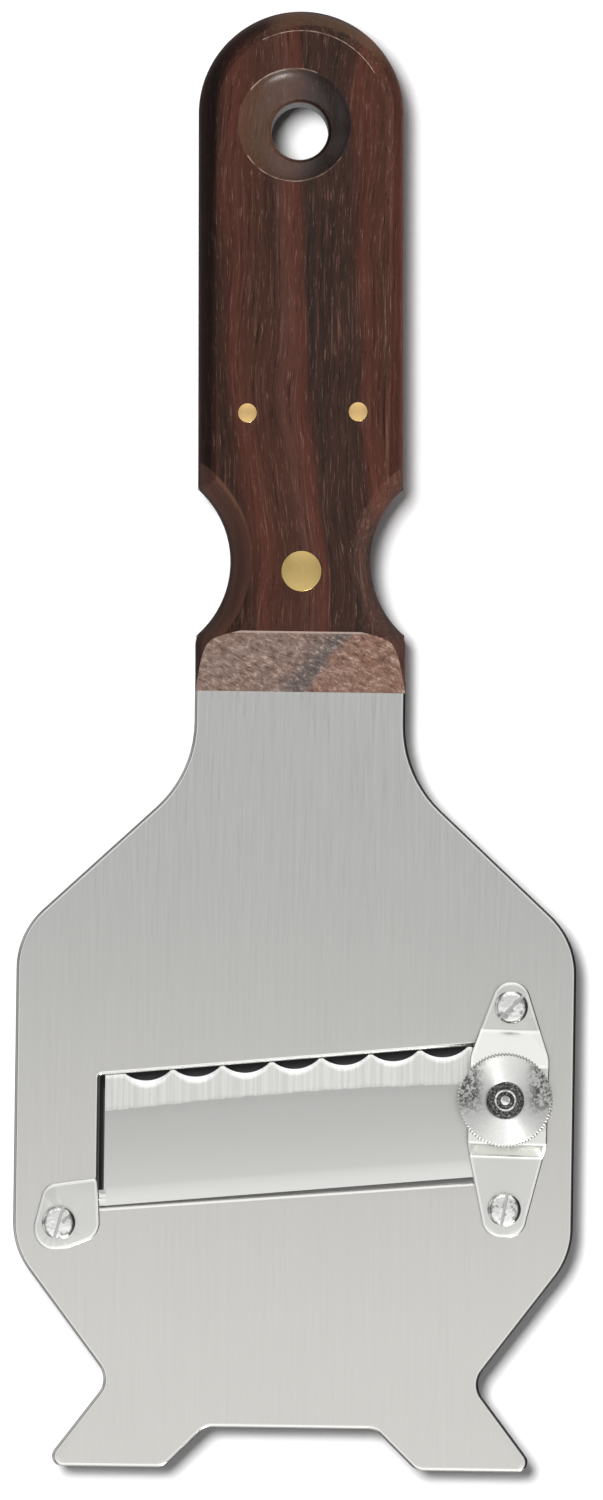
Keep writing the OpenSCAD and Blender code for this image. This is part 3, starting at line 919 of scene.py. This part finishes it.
def build_screw(node, slot_angle):
    """A domed head with a slot, on a plain shank."""
    base = CLIP_TOP if node == "clip_screw" else PLATE_TOP + STRIP_THICK
    at, r, top = centre(node).xy, radius_of(node), high(node).z
    edge, dome_z, dome_r = 0.1, top - DOME_H, r - HEAD_FLAT_R
    profile = [(SHANK_R, low(node).z), (SHANK_R, base), (r - edge, base), (r, base + edge)]
    profile.append((r, dome_z - edge))
    for i in range(9):
        a = math.radians(10 * i + 8)
        profile.append((HEAD_FLAT_R + dome_r * math.cos(a), dome_z + (DOME_H - 0.06) * math.sin(a)))
    profile += [(1.0, top - 0.03), (0.5, top - 0.005), (0.05, top)]
    a = math.radians(slot_angle)
    lengthwise = Vector((math.cos(a), math.sin(a)))
    sideways = Vector((-math.sin(a), math.cos(a)))
    corners = [at + lengthwise * 4 * i + sideways * SLOT_W / 2 * j for i, j in SQUARE]
    slot = prism_along_z(corners, top - SLOT_DEPTH, top + 1)
    mesh = cut(turned(profile, at, node + "_blank"), [slot], node + "_steel")
    piece = to_object(mesh, SCREW_STEEL, SLOT_STEEL)
    for face in mesh.polygons:
        aside = abs((face.center.xy / MM - at).dot(sideways))
        in_slot = aside < SLOT_W / 2 + 0.01 and face.center.z / MM > top - SLOT_DEPTH - 0.01
        face.material_index = int(in_slot)
    smooth(mesh, 30)
    soften(piece, 0.06)
    stand_for(piece, "slicer", "screw_steel", node)


def soften(piece, width):
    """Rounds the sharp edges of a piece."""
    bevel = piece.modifiers.new("soften", "BEVEL")
    bevel.width = width * MM
    bevel.segments = 2
    bevel.limit_method = "ANGLE"
    bevel.angle_limit = math.radians(35)


# ---- corner clip and bridge

SHEET_EDGE = 0.16
# Corners of the clip (x, y, radius), clockwise from its upper right one.
CLIP_CORNERS = [(-29.45, -65.95, 0.6), (-37.35, -67.1, 2.4), (-38.95, -73.4, 4), (-38.3, -77.2, 3),
                (-33.9, -76.6, 4.5), (-28.9, -74.7, 3), (-29.15, -68.6, 4)]
BRIDGE_AT = Vector((31.94, -54.89))
BRIDGE_LEAN = math.radians(1.2)
BRIDGE_HALF = (high("bridge").y - low("bridge").y) / 2
TOP_BEND = (11.8, 6.6)
LOW_BEND = (-7.0, -5.1)
STEP = high("bridge").z - STRIP_THICK - PLATE_TOP
SAG = 0.16
# The bridge's outline: (place along it, half width, radius of the corner there).
BRIDGE_SIDE = [(BRIDGE_HALF, 2.05, 2.65), (8, 5.95, 4), (-5.5, 5.95, 8), (-16, 3.5, 8),
               (-BRIDGE_HALF, 2.9, 2.8)]


def bent_sheet(bm, name, node):
    piece = to_object(to_mesh(bm, name, 50), BRIGHT_STEEL, RIM_HIGHLIGHT_STEEL)
    keep_flats(piece)
    stand_for(piece, "slicer", "bright_steel", node)


def build_clip():
    hole = circle(centre("clip_screw").xy, 1.55, 48)
    bm = sheet_solid([rounded_outline(CLIP_CORNERS), hole], PLATE_TOP, CLIP_TOP, SHEET_EDGE, 4, 0.34)
    bent_sheet(bm, "clip_sheet", "corner_clip")


def share_of_bend(s, start, end):
    """Share of a bend's rise reached at a place along the strip, averaged over a short stretch."""
    stretch, samples = 0.3, 12
    places = [s + stretch * (2 * (i + 0.5) / samples - 1) for i in range(samples)]
    return sum(clamp((place - start) / (end - start)) for place in places) / samples


def strip_height(s):
    """Height of the strip's front face above the plate, at a place along it."""
    rise_low = share_of_bend(s, *LOW_BEND)
    rise = min(share_of_bend(s, *TOP_BEND), rise_low)
    return STRIP_THICK + STEP * rise - SAG * clamp((-2.9 - s) / 2.2) * rise_low


def build_bridge():
    right = [(w, s, r) for s, w, r in BRIDGE_SIDE]
    outline = rounded_outline(right + [(-w, s, r) for w, s, r in right[::-1]])
    hole = circle(Matrix.Rotation(BRIDGE_LEAN, 2) @ (WHEEL_AT - BRIDGE_AT), 2.0, 48)
    bm = sheet_solid([outline, hole], 0, STRIP_THICK, SHEET_EDGE, 4, 0.32)
    for i in range(148):
        everything = bm.verts[:] + bm.edges[:] + bm.faces[:]
        place = (0, 14 - 0.15 * i, 0)
        bmesh.ops.bisect_plane(bm, geom=everything, plane_co=place, plane_no=(0, 1, 0), dist=1e-5)
    turn = Matrix.Rotation(-BRIDGE_LEAN, 2)
    for vertex in bm.verts:
        x, s, h = vertex.co
        slope = (strip_height(s + 0.05) - strip_height(s - 0.05)) / 0.1
        down = Vector((-slope, 1)).normalized() * (STRIP_THICK - h)
        spot = BRIDGE_AT + turn @ Vector((x, s - down.x))
        vertex.co = (*spot, PLATE_TOP + strip_height(s) - down.y)
    bent_sheet(bm, "bridge_strip", "bridge")


# ---- blade

CROWN = 0.12
RIB_PITCH = 0.72
RIB_DEPTH = 0.007
RIB_COLUMNS = 6
BEVEL_START = 14.3
TIP_THICK = 0.35
FIRST_SCALLOP = 5.65
SCALLOPS = 8
SCALLOP_PITCH = 7.44
SCALLOP_W = 6.85
SCALLOP_DEPTH = 1.3
FLAT_ROWS, BEVEL_ROWS, HOLLOW_ROWS = 10, 7, 4
EAR_R = 0.5
EAR_EDGE = 0.12


def scallop_dip(u):
    """How far the edge lies below the tips at a place along the spine, and how deep into a scallop it is."""
    half = SCALLOP_W / 2
    r = half ** 2 / (2 * SCALLOP_DEPTH) + SCALLOP_DEPTH / 2
    for i in range(SCALLOPS):
        off = abs(u - FIRST_SCALLOP - half - i * SCALLOP_PITCH)
        if off < half:
            return math.sqrt(r * r - off * off) - (r - SCALLOP_DEPTH), 1 - (off / half) ** 2
    return 0, 0


def blade_columns(x0, x1):
    """Columns (x, depth of the grinding mark there, its number), with marks of uneven width."""
    edges = [x0]
    while edges[-1] < x1:
        edges.append(edges[-1] + RIB_PITCH * (1 + 0.35 * noise.noise(((len(edges) - 1) * 1.7, 3.1, 0))))
    edges[-1] = x1
    columns = []
    for number, (a, b) in enumerate(zip(edges, edges[1:])):
        for i in range(RIB_COLUMNS):
            t = i / RIB_COLUMNS
            columns.append((a + (b - a) * t, 4 * t * (1 - t), number))
    columns.append((x1, 0, len(edges)))
    return columns


def blade_column(x, mark, number):
    """Points (v, z) of the blade's front face at one x, from the spine to the edge."""
    v_edge = TIP_V
    for _ in range(4):
        dip, deep = scallop_dip(u_at(x, v_edge))
        v_edge = TIP_V - dip
    share = (x - WINDOW_LEFT) / 60
    lift = 0.65 * math.sin(math.pi * clamp(share)) - 0.3 * smoothstep(share, 0.6, 1)
    ragged = 0.16 * noise.noise((number * 2.3, 7.7, 0))
    v_bevel = BEVEL_START + lift + ragged
    hollow = max((0.9 - 0.5 * share) * deep ** 0.75, 0.03)
    v_hollow = v_edge - hollow
    points = []
    for i in range(FLAT_ROWS + 1):
        v = SPINE_V + (v_bevel - SPINE_V) * i / FLAT_ROWS
        drop = CROWN * ((v - 8) / 7) ** 2
        if v < EAR_V:
            drop += 0.2 * (EAR_V - v) / (EAR_V - SPINE_V)
        points.append((v, BLADE_TOP - drop))
    z_bevel, z_tip = points[-1][1], BLADE_LOW + TIP_THICK
    for i in range(1, BEVEL_ROWS + 1):
        v = v_bevel + (v_hollow - v_bevel) * i / BEVEL_ROWS
        down = (v - v_bevel) / (TIP_V - v_bevel)
        points.append((v, z_bevel + (z_tip - z_bevel) * down - mark * RIB_DEPTH))
    z_hollow = points[-1][1]
    z_edge = max(BLADE_LOW + 0.05, z_hollow - 0.3 * hollow)
    for i in range(1, HOLLOW_ROWS + 1):
        t = i / HOLLOW_ROWS
        points.append((v_hollow + (v_edge - v_hollow) * t, z_hollow + (z_edge - z_hollow) * t))
    return points


def ears_and_neck(left):
    """The two round ears, and the neck that crosses the window's gap to the left one."""
    meshes = []
    for u0, u1 in ((-2.7, 1.4), (u_at(34.4, EAR_V) - 0.6, 66.4)):
        stations = [(u0, EAR_R - EAR_EDGE), (u0 + EAR_EDGE, EAR_R), (u1, EAR_R)]
        rings = [[from_blade(u, v, z) for v, z in circle((EAR_V, GROOVE_Z), r, 32)] for u, r in stations]
        meshes.append(closed_tube(rings, "ear"))
    near, far = 0.25, 2.6
    section = ((near, BLADE_LOW + 0.03), (far, BLADE_LOW + 0.03), (far, BLADE_TOP - 0.1),
               (EAR_V, BLADE_TOP - 0.03), (near, BLADE_TOP - 0.27))
    ends = (u_at(WINDOW_LEFT, EAR_V) + 0.12, u_at(left, EAR_V) + 0.3)
    meshes.append(closed_tube([[from_blade(u, v, z) for v, z in section] for u in ends], "neck"))
    return meshes


def build_blade():
    outline = [loop for loop in face_loops("blade", BLADE_LOW) if abs(area(loop)) > 100][0]
    left = min(x for x, y in outline if y > WINDOW_LOW_Y + 5)
    right = max(x for x, y in outline)
    bm = bmesh.new()
    columns = []
    for x, mark, number in blade_columns(left, right):
        column = blade_column(x, mark, number)
        columns.append([bm.verts.new(from_blade(u_at(x, v), v, z)) for v, z in column])
    for a, b in zip(columns, columns[1:]):
        for i in range(len(a) - 1):
            face = bm.faces.new((a[i], b[i], b[i + 1], a[i + 1]))
            face.material_index = 0 if i < FLAT_ROWS else 1 if i < FLAT_ROWS + BEVEL_ROWS else 2
    rim = [column[0] for column in columns] + columns[-1][1:]
    rim += [column[-1] for column in columns[-2::-1]] + columns[0][-2:0:-1]
    under = [bm.verts.new((v.co.x, v.co.y, BLADE_LOW)) for v in rim]
    for (a, b), (c, d) in zip(along(rim), along(under)):
        bm.faces.new((a, c, d, b))
    fill_between(bm, [under])
    blank = to_mesh(bm, "blade_blank")
    for material in (BLADE_STEEL, GROUND_STEEL, HONED_HIGHLIGHT_STEEL):
        blank.materials.append(material)
    drilled = cut(blank, [drill(WHEEL_AT, 1.4, BLADE_LOW - 1, BLADE_TOP + 1)], "blade_drilled")
    mesh = cut(drilled, ears_and_neck(left), "blade_body", "UNION")
    smooth(mesh, 28)
    stand_for(to_object(mesh), "blade", "blade_steel", "blade")


# ---- adjuster

RIBS = 84
HUB_RECESS_R = 2.8
THREAD_PITCH, THREAD_R, THREAD_DEPTH = 0.7, 1.95, 0.38


def build_wheel():
    z0, z1, r = low("thumb_wheel").z, high("thumb_wheel").z, radius_of("thumb_wheel")
    bore_r, floor_z, rings = 1.72, high("thumb_wheel").z - 1.0, 8

    def ribs(a, radius, z):
        depth = 0.32 * smoothstep(radius, r - 1.0, r - 0.25)
        return -depth * (0.5 - 0.5 * math.cos(a * RIBS)) ** 0.7

    profile = [(bore_r, z0), (r - 1.0, z0), (r - 0.2, z0 + 0.02), (r, z0 + 0.2), (r, z1 - 0.22),
               (r - 0.05, z1 - 0.1), (r - 0.16, z1 - 0.02), (r - 0.3, z1), (r - 1.0, z1)]
    for i in range(1, rings):
        profile.append((r - 1.0 - (r - 1.1 - HUB_RECESS_R) * i / rings, z1 - 0.012 * math.sin(i * 1.3)))
    profile += [(HUB_RECESS_R + 0.1, z1), (HUB_RECESS_R, z1 - 0.08), (HUB_RECESS_R - 0.02, z1 - 0.9),
                (HUB_RECESS_R - 0.15, floor_z), (bore_r, floor_z)]
    mesh = turned(profile, WHEEL_AT, "wheel_turned", RIBS * 6, closed=True, wobble=ribs)
    piece = to_object(mesh, WHEEL_STEEL, RECESS_SHADE_STEEL, BRIGHT_STEEL)
    for face in mesh.polygons:
        off = (face.center.xy / MM - WHEEL_AT).length
        # The recess takes the steel painted dark as shade.
        if off < HUB_RECESS_R + 0.02 and face.center.z / MM > z0 + 1:
            face.material_index = 1
        elif off > r - 0.26:
            face.material_index = 2
    stand_for(piece, "adjuster", "wheel_steel", "thumb_wheel")


def build_adjusting_screw():
    z_tip, z_end = low("adjusting_screw").z, high("adjusting_screw").z
    wheel_z = low("thumb_wheel").z
    shoulder = low("upper_washer").z + 0.35
    first, last = shoulder + 0.15, wheel_z - 0.1

    def thread(a, radius, z):
        if abs(radius - THREAD_R) > 1e-6:
            return 0
        phase = (z / THREAD_PITCH - a / math.tau) % 1
        return -THREAD_DEPTH * abs(2 * phase - 1) * smoothstep(z, shoulder, shoulder + 0.4)

    profile = [(0.3, z_tip), (1.3, z_tip), (1.6, z_tip + 0.1), (1.7, z_tip + 0.22), (1.7, z_tip + 0.3),
               (1.0, z_tip + 0.3), (1.0, shoulder - 0.02), (1.75, shoulder)]
    profile += [(THREAD_R, first + (last - first) * i / 96) for i in range(97)]
    profile += [(1.7, wheel_z), (1.7, z_end - 0.1), (1.62, z_end), (1.34, z_end), (1.26, z_end - 0.08),
                (1.22, z_end - 0.5), (0.86, z_end - 0.5), (0.8, z_end - 0.22), (0.7, z_end - 0.12),
                (0.3, z_end - 0.1)]
    mesh = turned(profile, WHEEL_AT, "screw_threaded", 72, wobble=thread)
    piece = to_object(mesh, SCREW_STEEL, RECESS_SHADE_STEEL)
    for face in mesh.polygons:
        off = (face.center.xy / MM - WHEEL_AT).length
        # The hollow in the screw's end takes the steel painted dark as shade.
        if face.center.z / MM > z_end - 0.51 and 0.8 < off < 1.3:
            face.material_index = 1
    stand_for(piece, "adjuster", "screw_steel", "adjusting_screw")


def build_washers():
    bore_r, edge = 1.06, 0.06
    for node in ("upper_washer", "lower_washer"):
        z0, z1, r = low(node).z, high(node).z, radius_of(node)
        profile = [(bore_r, z0 + edge), (bore_r + edge, z0), (r - edge, z0), (r, z0 + edge),
                   (r, z1 - edge), (r - edge, z1), (bore_r + edge, z1), (bore_r, z1 - edge)]
        mesh = turned(profile, WHEEL_AT, node + "_ring", 64, closed=True)
        stand_for(to_object(mesh, SCREW_STEEL), "carriage", "screw_steel", node)


# ---- floor, light and camera

FLOOR_HALF = 3000
# Patches of painted shadow on the paper under the window's gaps: middles and half sizes.
GAP_SHADOWS = [((-3, -48.5), (31, 4.4)), ((-31, -59), (2.6, 11.5))]
WORLD_LIGHT = 0.205
TENT_LIGHT = 1.2
# How bright the reflected tent is by direction: stops (place from -1 to 1, brightness) along X, Y and Z.
TENT_X = [(-1, 0.95), (-0.8, 0.8), (-0.6, 0.12), (-0.2, 1), (0.2, 1), (0.6, 0.05), (1, 0.05)]
TENT_Y = [(-1, 0.96), (-0.32, 0.96), (-0.13, 0.86), (-0.04, 0.66), (0.02, 0.58), (0.12, 0.50), (0.18, 0.62),
          (0.30, 1.1), (1, 1.1)]
TENT_Z = [(-1, 0.42), (-0.3, 0.42), (0.02, 0.55), (0.3, 0.64), (0.6, 1), (1, 1)]
CAMERA_DISTANCE = 1.6
SEEN_HEIGHT = 0.225


def gap_shadow_mask(paper, at, half):
    """1 on a patch of painted shadow, with soft edges."""
    off = paper.vector_math("SUBTRACT", paper.coords(z=0), (*at, 0))
    sides = paper.axes(paper.vector_math("ABSOLUTE", off))
    return paper.product(*(paper.spread(side, reach + 0.7, reach - 0.7) for side, reach in zip(sides, half)))


def build_floor():
    """White paper with the patches of painted shadow on it."""
    bm = bmesh.new()
    bm.faces.new([bm.verts.new((x * FLOOR_HALF, y * FLOOR_HALF, 0)) for x, y in SQUARE])
    paper = Finish("paper", (0.93, 0.93, 0.93), Roughness=0.9)
    tone = paper.ramp(paper.noise(0.4, detail=4), (0.3, (0.925, 0.925, 0.925)), (0.7, (0.94, 0.94, 0.94)))
    for at, half in GAP_SHADOWS:
        tone = paper.mix(gap_shadow_mask(paper, at, half), tone, (0.09, 0.09, 0.093))
    paper.paint(tone)
    floor = to_object(to_mesh(bm, "floor"), paper.material)
    floor.visible_glossy = False
    return floor


def build_world():
    """Even light on the surfaces, and a tent of uneven brightness for the reflections."""
    world = bpy.data.worlds.new("studio")
    bpy.context.scene.world = world
    world.use_nodes = True
    sky = Nodes(world.node_tree)
    directions = sky.axes(sky.node("ShaderNodeTexCoord").outputs["Generated"])
    tent = TENT_LIGHT
    for direction, stops in zip(directions, (TENT_X, TENT_Y, TENT_Z)):
        place = sky.combine("MULTIPLY_ADD", direction, 0.5, 0.5)
        greys = [((at + 1) / 2, (level,) * 3) for at, level in stops]
        tent = sky.combine("MULTIPLY", tent, sky.ramp(place, *greys))
    rays = sky.node("ShaderNodeLightPath").outputs
    seen, diffuse = rays["Is Camera Ray"], rays["Is Diffuse Ray"]
    even = sky.combine("MULTIPLY_ADD", diffuse, WORLD_LIGHT, seen)
    glossy = sky.combine("SUBTRACT", 1.0, sky.combine("MAXIMUM", seen, diffuse))
    background = world.node_tree.nodes["Background"]
    background.inputs["Color"].default_value = (0.985, 0.985, 1.0, 1)
    sky.feed(background.inputs["Strength"], sky.combine("MULTIPLY_ADD", tent, glossy, even))


def area_light(name, place, size, strength, pieces, glossy=False):
    """A square light that gives a facing surface that strength, 1 being as bright as white paper gets."""
    light = bpy.data.lights.new(name, "AREA")
    light.shape = "SQUARE"
    light.size = size
    light.energy = strength * (math.pi * Vector(place).length) ** 2
    lamp = add_object(light)
    lamp.location = place
    lamp.rotation_euler = Vector(place).to_track_quat("Z", "Y").to_euler()
    lamp.visible_glossy = glossy
    group = bpy.data.collections.new(name + "_lit")
    for piece in pieces:
        group.objects.link(piece)
    lamp.light_linking.receiver_collection = group


def build_lights(floor):
    """The paper's light casts the drop shadow, and the wood and brass have two lights of their own."""
    pieces = [thing for thing in bpy.data.objects if thing.type == "MESH" and thing is not floor]
    metals = {"plate_steel", "blade_steel", "bright_steel", "screw_steel", "wheel_steel", "recess_steel"}
    warm = [piece for piece in pieces if piece.data.materials and piece.data.materials[0].name not in metals]
    area_light("paper_light", (-0.215, 0.19, 1.4), 0.3, 1.115, [floor])
    area_light("wood_light", (0.9, 0.4, 0.9), 0.35, 1.05, warm)
    area_light("dish_light", (0.34, -0.93, 0.5), 0.28, 0.55, warm, glossy=True)


def build_camera():
    """Straight above, rolled a little, with a long lens."""
    data = bpy.data.cameras.new("camera")
    camera = add_object(data)
    bpy.context.scene.camera = camera
    data.lens = data.sensor_width * CAMERA_DISTANCE / SEEN_HEIGHT
    data.clip_end = 20
    camera.location = (0.3 * MM, -1.4 * MM, PLATE_TOP * MM + CAMERA_DISTANCE)
    camera.rotation_euler = (0, 0, math.radians(0.79))


bpy.context.scene.view_settings.view_transform = "Standard"
build_camera()
floor = build_floor()
build_world()
build_plate()
build_handle()
build_pins()
build_rivet()
build_clip()
build_bridge()
build_screw("clip_screw", 74)
build_screw("top_bridge_screw", 45)
build_screw("bottom_bridge_screw", 80)
build_blade()
build_wheel()
build_adjusting_screw()
build_washers()
build_lights(floor)
